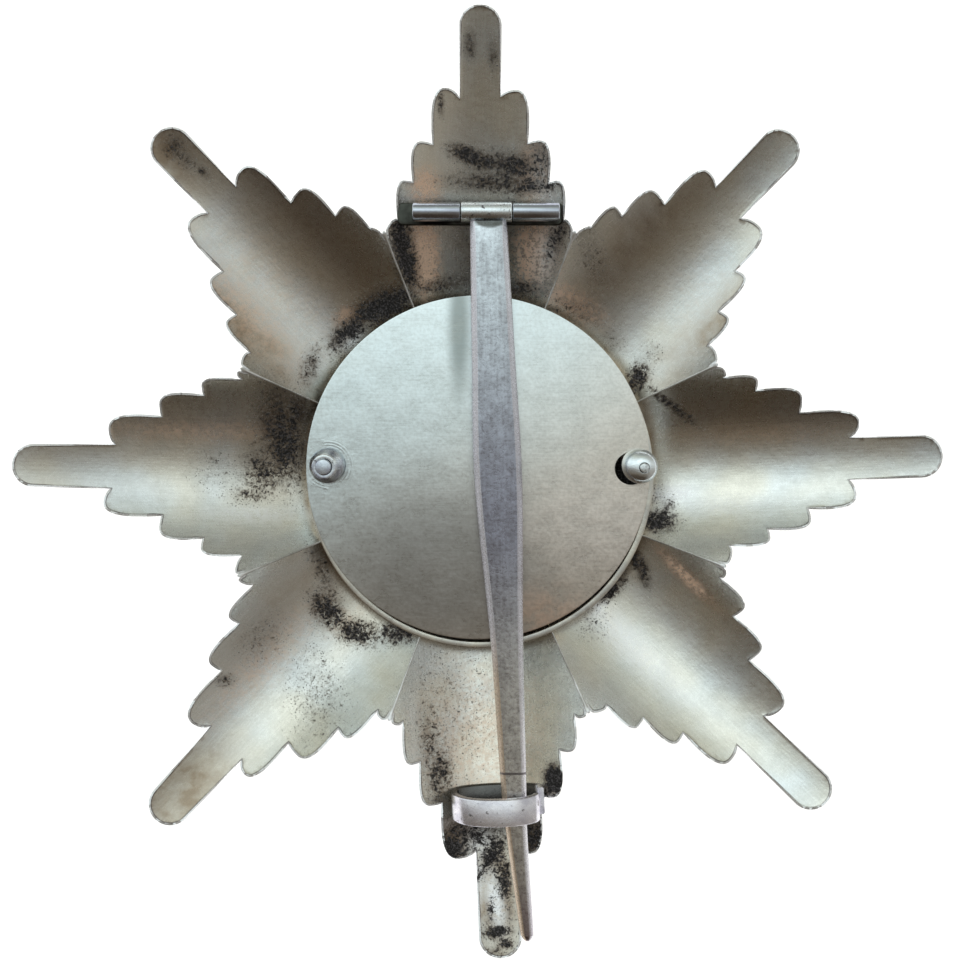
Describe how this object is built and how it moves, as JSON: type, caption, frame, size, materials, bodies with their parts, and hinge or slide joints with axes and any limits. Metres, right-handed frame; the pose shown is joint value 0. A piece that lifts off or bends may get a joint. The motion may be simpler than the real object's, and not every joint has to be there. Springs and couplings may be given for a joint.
{
  "type": "breast star",
  "caption": "Silver-gilt breast star lying back upwards, with troughed rays, a screwed-on back disc, a strip catch and a long hinged pin.",
  "frame": {"origin": "centre of the star's bounding box, on the surface that the front medallion's rim lies on", "axes": "+Z out of the star's back, +Y towards the top ray that carries the hinge, +X to the right as one looks at the back"},
  "size_m": [0.0888, 0.091, 0.0103],
  "materials": {
    "silver_gilt": "satin brushed silver-gilt with black tarnish",
    "disc_silver": "satin silver-gilt, finely scratched",
    "front_gilt": "satin gilt",
    "polished_silver": "worn polish",
    "rod_silver": "drawn wire",
    "pin_silver": "worn, pitted silver"
  },
  "bodies": {
    "star": {"star_body": "silver_gilt", "back_disc": "disc_silver", "front_medallion": "front_gilt", "nut_left": "polished_silver", "nut_right": "polished_silver", "hinge_rod": "rod_silver"},
    "pin": {"pin": "pin_silver"}
  },
  "joints": [
    {"name": "pin_swing", "type": "hinge", "parent": "star", "child": "pin", "pos_m": [0.00092, 0.0254, 0.00825], "axis": [-1, 0, 0], "range_deg": [0, 170]}
  ]
}
